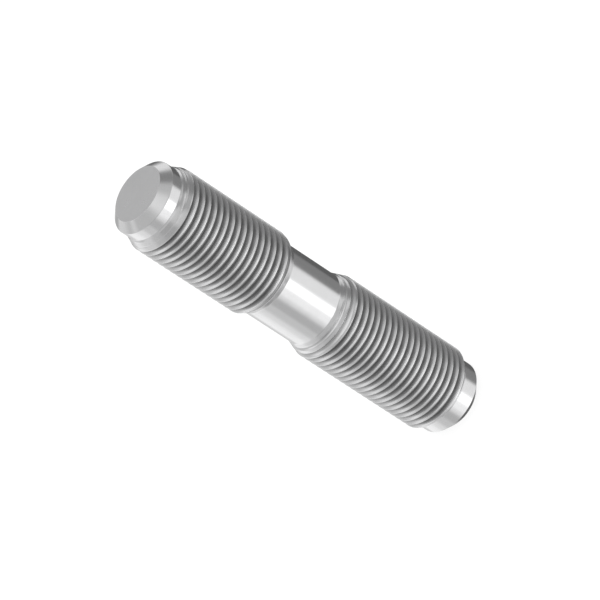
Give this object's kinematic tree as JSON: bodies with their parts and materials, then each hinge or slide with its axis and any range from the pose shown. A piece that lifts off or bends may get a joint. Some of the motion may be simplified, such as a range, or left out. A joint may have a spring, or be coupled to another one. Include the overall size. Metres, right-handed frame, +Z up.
{
  "type": "threaded stud",
  "caption": "Double-ended steel stud with a fine right-hand thread on both ends, a reduced plain shank between them and chamfered cylindrical points.",
  "frame": {"origin": "centre of the lower end face, which is the end of the longer thread", "axes": "+Z up the stud's axis, from the longer thread to the shorter one"},
  "size_m": [0.014, 0.014, 0.0685],
  "materials": {
    "bright_steel": "bright turned steel, bare, with fine turning marks round the axis"
  },
  "bodies": {
    "root": {"stud": "bright_steel"}
  },
  "joints": []
}
